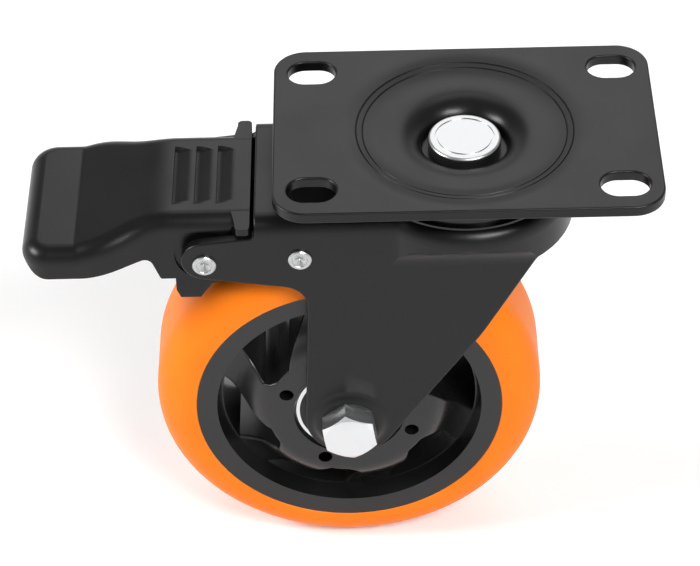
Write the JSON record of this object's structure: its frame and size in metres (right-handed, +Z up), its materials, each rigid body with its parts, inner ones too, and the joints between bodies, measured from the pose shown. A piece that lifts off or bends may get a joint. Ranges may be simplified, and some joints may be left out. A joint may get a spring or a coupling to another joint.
{
  "type": "swivel castor",
  "caption": "Swivel castor with a slotted mounting plate, pressed fork, spoked wheel and a foot brake that locks wheel and swivel together.",
  "frame": {"origin": "where the swivel axis meets the mounting face of the top plate", "axes": "+Z up out of the mounting face along the swivel axis, +X along the plate away from the pedal, the wheel trails towards -X"},
  "size_m": [0.1564, 0.0664, 0.1296],
  "materials": {
    "black_steel": "satin black powder coat",
    "gloss_black_steel": "gloss black",
    "bright_zinc": "bright zinc plate",
    "plain_steel": "plain steel",
    "bearing_steel": "polished",
    "seal_rubber": "matt",
    "core_plastic": "moulded, satin",
    "orange_tyre": "smooth cast elastomer"
  },
  "bodies": {
    "plate": {"top_plate": "black_steel", "upper_race": "gloss_black_steel", "kingpin": "bright_zinc", "kingpin_washer": "plain_steel", "lock_ring": "plain_steel"},
    "fork": {"fork": "black_steel", "pedal_pin": "bright_zinc", "brake_pin": "bright_zinc", "near_arm_spacer": "plain_steel", "far_arm_spacer": "plain_steel", "axle_bolt": "bright_zinc", "axle_washer": "bright_zinc", "axle_nut": "bright_zinc", "axle_sleeve": "plain_steel", "inner_spacer": "plain_steel", "near_outer_spacer": "plain_steel", "far_outer_spacer": "plain_steel", "near_inner_race": "bearing_steel", "far_inner_race": "bearing_steel"},
    "swivel_balls": {"upper_balls": "bearing_steel", "lower_balls": "bearing_steel"},
    "wheel": {"wheel_core": "core_plastic", "tyre": "orange_tyre", "near_outer_race": "bearing_steel", "far_outer_race": "bearing_steel", "near_seals": "seal_rubber", "far_seals": "seal_rubber"},
    "wheel_balls": {"near_wheel_balls": "bearing_steel", "near_cage": "plain_steel", "far_wheel_balls": "bearing_steel", "far_cage": "plain_steel"},
    "pedal": {"pedal": "black_steel", "pedal_sleeve": "plain_steel"},
    "brake_arm": {"brake_arm": "black_steel", "brake_spring": "plain_steel"}
  },
  "joints": [
    {"name": "swivel", "type": "hinge", "parent": "plate", "child": "fork", "pos_m": [0, 0, 0], "axis": [0, 0, 1], "continuous": true},
    {"name": "swivel_balls_roll", "type": "hinge", "parent": "plate", "child": "swivel_balls", "pos_m": [0, 0, 0], "axis": [0, 0, 1], "continuous": true},
    {"name": "wheel_spin", "type": "hinge", "parent": "fork", "child": "wheel", "pos_m": [-0.03, 0, -0.0796], "axis": [0, 1, 0], "continuous": true},
    {"name": "wheel_balls_roll", "type": "hinge", "parent": "fork", "child": "wheel_balls", "pos_m": [-0.03, 0, -0.0796], "axis": [0, 1, 0], "continuous": true},
    {"name": "pedal_press", "type": "hinge", "parent": "fork", "child": "pedal", "pos_m": [-0.0645, 0, -0.0248], "axis": [0, -1, 0], "range_deg": [0, 15]},
    {"name": "brake_arm_pivot", "type": "hinge", "parent": "fork", "child": "brake_arm", "pos_m": [-0.041, 0, -0.0236], "axis": [0, -1, 0], "range_deg": [0, 3.6]}
  ],
  "couplings": [
    {"joint": "swivel_balls_roll", "follows": "swivel", "ratio": 0.5},
    {"joint": "wheel_balls_roll", "follows": "wheel_spin", "ratio": 0.4},
    {"joint": "brake_arm_pivot", "follows": "pedal_press", "ratio": 0.24}
  ]
}
